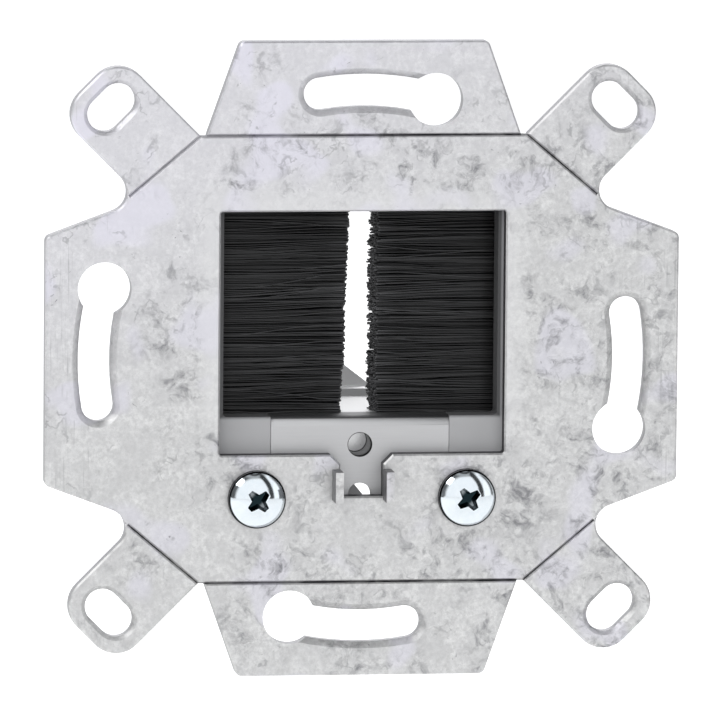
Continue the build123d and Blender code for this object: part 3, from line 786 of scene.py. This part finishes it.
def filament_lines(side, chance):
    """The stations of every folded filament, as an array of filaments by stations by 3.

    A leg runs from the wire towards the gap: its distance from the bundle's middle plane starts at
    its own radius round the wire, shrinks to its share of the channel's mouth, and then grows with
    the square of the distance. Its height changes by a slope that is a sum of sines of the height,
    which makes fans, plus a small random part, and a few strays lean and bow more. Over the
    bracket's shelf no filament goes below its own radius above it. The fold is a half circle."""
    wire_low, wire_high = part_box("left_core_wire" if side < 0 else "right_core_wire")
    channel_low, channel_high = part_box("left_brush_channel" if side < 0 else "right_brush_channel")
    wire_x = (wire_low.x + wire_high.x) / 2
    middle = (wire_low.y + wire_high.y) / 2
    wire_radius = (wire_high.x - wire_low.x) / 2
    inner_half = (channel_high.y - channel_low.y) / 2 - CHANNEL_WALL
    lowest = channel_low.z + FILAMENT_RADIUS
    highest = channel_high.z - FILAMENT_RADIUS

    count = FOLDED_FILAMENTS
    height = lowest + (np.arange(count) + 0.5) / count * (highest - lowest)
    level = height / MM
    rank = (chance.permutation(count) + 0.5) / count
    strays = chance.random(count) < STRAY_SHARE
    rank = np.where(strays, 1.0, rank)
    clearance = inner_half - wire_radius - 2 * FILAMENT_RADIUS
    fold_radius = wire_radius + FILAMENT_RADIUS + rank * clearance
    share = rank * (inner_half - FILAMENT_RADIUS)
    cut = np.interp(level, CUT_HEIGHTS, LEFT_CUT if side < 0 else RIGHT_CUT) * MM

    legs = []
    for face in (-1, 1):
        # The knife leaves most filaments level and some a little short, in small groups
        groups = np.clip(np.sin(level * 5.3 + 2 * np.sin(level * 1.7)), 0, 1)
        short = np.abs(chance.normal(0, CUT_SCATTER_MM, count)) + GROUP_DEPTH_MM * groups
        too_short = chance.random(count) < SHORT_SHARE
        short += np.where(too_short, SHORT_DEPTH_MM * chance.random(count), 0.0)
        slant = RIGHT_CUT_SLANT * (1 - face * rank) / 2 if side > 0 else 0.0
        reach = side * (wire_x - cut) - short * MM - slant
        # Fans about 8 mm high, and ripples of about 3 mm in them
        slope = (
            FAN_SLOPE * np.sin(level / 1.25 + 1.3 * face + 0.9 * side)
            + RIPPLE_SLOPE * np.sin(level / 0.43 + 2.0 * np.sin(level / 2.1))
            + chance.normal(0, SLOPE_SCATTER, count)
            + LEFT_LEAN * (side < 0)
        )
        slope = np.where(strays, chance.normal(0.02, 0.05, count), slope)
        edge = np.clip((level - lowest / MM) / LOW_EDGE_MM, 0, 1)
        slope = np.where(slope < 0, slope * edge, slope * (0.25 + 0.75 * edge))
        t = LEG_SHARES[None, :]
        along = reach[:, None] * t
        squeeze = np.clip(along / PINCH_LENGTH, 0, 1)
        squeeze = squeeze * squeeze * (3 - 2 * squeeze)
        spread = 1 + SPREAD * t ** 2
        offset = fold_radius[:, None] * (1 - squeeze) + share[:, None] * squeeze * spread
        bow = np.where(strays, chance.normal(0, 0.28, count), chance.normal(0, 0.04, count))
        bow = bow[:, None] * MM * np.sin(np.pi * t)
        free = np.clip((along - CHANNEL_REACH) / FAN_LENGTH, 0, 1)
        x = wire_x - side * along
        z = height[:, None] + slope[:, None] * FAN_LENGTH * free * (0.4 + 0.6 * free) + bow * free
        rise = np.clip((SHELF_REACH[1] - np.abs(x)) / (SHELF_REACH[1] - SHELF_REACH[0]), 0, 1)
        bottom = lowest + rise * (SHELF_TOP + 1.6 * FILAMENT_RADIUS - lowest)
        z = np.clip(z, bottom, highest)
        y = middle + face * offset
        legs.append(np.stack([x, y, z], axis=-1))

    angle = FOLD_ANGLES[None, :]
    fold = np.stack([
        wire_x + side * fold_radius[:, None] * np.cos(angle),
        middle - fold_radius[:, None] * np.sin(angle),
        np.repeat(height[:, None], len(FOLD_ANGLES), axis=1),
    ], axis=-1)
    return np.concatenate([legs[0], fold, legs[1][:, ::-1]], axis=1), strays


print("stations on a folded filament:", 2 * len(LEG_SHARES) + len(FOLD_ANGLES))


# %% Rings round the lines
def tube_rings(lines, radius, sides):
    """Points of a ring round every station. A ring lies across the line's direction there, which is
    the difference of its neighbours: one axis is square to the line and Z, the other to both."""
    along = np.gradient(lines, axis=1)
    along /= np.linalg.norm(along, axis=2, keepdims=True)
    across = np.cross(along, np.array([0.0, 0.0, 1.0]))
    across /= np.linalg.norm(across, axis=2, keepdims=True)
    upward = np.cross(across, along)
    angle = np.arange(sides) * 2 * np.pi / sides
    return (
        lines[:, :, None, :]
        + radius * np.cos(angle)[None, None, :, None] * across[:, :, None, :]
        + radius * np.sin(angle)[None, None, :, None] * upward[:, :, None, :]
    )


# %% Both brushes
TONE_KNOTS = 70
SHARED_TONE = 0.55


def make_bristles(name, side, seed, node):
    """One brush's filaments as a single mesh: rings joined by quads, and a quad on each cut end."""
    chance = np.random.default_rng(seed)
    lines, strays = filament_lines(side, chance)
    rings = tube_rings(lines, FILAMENT_RADIUS, RING_SIDES)
    count, stations = lines.shape[:2]
    number = np.arange(count * stations * RING_SIDES).reshape(count, stations, RING_SIDES)
    turned = np.roll(number, -1, axis=2)
    walls = np.stack([
        number[:, :-1], number[:, 1:], turned[:, 1:], turned[:, :-1],
    ], axis=-1).reshape(-1, 4)
    caps = np.concatenate([number[:, 0], number[:, -1, ::-1]])
    mesh = mesh_from_arrays(name, rings.reshape(-1, 3), np.concatenate([walls, caps]))
    # Neighbours share part of their tone, so that the bundle shows broader dark and pale streaks
    order = np.linspace(0, 1, count)
    shared = np.interp(order, np.linspace(0, 1, TONE_KNOTS), chance.random(TONE_KNOTS))
    own = (1 - SHARED_TONE) * chance.random(count) ** 1.5 + SHARED_TONE * shared ** 1.6
    own = np.where(strays, 1.0, own)
    tone = np.repeat(own, stations * RING_SIDES)
    # The cut ends are frayed and greyer, some more than others
    fray = np.zeros((count, stations))
    fray[:, 0] = fray[:, -1] = chance.random(count) ** 2.5
    fray[:, 1] = fray[:, -2] = 0.5 * fray[:, 0]
    fray = np.repeat(fray.ravel(), RING_SIDES)
    for label, values in (("filament_tone", tone), ("filament_fray", fray)):
        stored = mesh.attributes.new(label, "FLOAT", "POINT")
        stored.data.foreach_set("value", values.astype(np.float32))
    is_cap = np.arange(len(walls) + len(caps)) >= len(walls)
    mesh.materials.append(nylon)
    mesh.materials.append(cut_nylon)
    mesh.polygons.foreach_set("material_index", is_cap.astype(np.int32))
    mesh.polygons.foreach_set("use_smooth", ~is_cap)
    mesh.update()
    piece = bpy.data.objects.new(name, mesh)
    scene.collection.objects.link(piece)
    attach(piece, "root")
    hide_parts(node)
    print(name, "filaments:", count, "triangles:", 2 * (len(walls) + len(caps)))


make_bristles("left_filaments", -1, 11, "left_bristles")
make_bristles("right_filaments", 1, 12, "right_bristles")
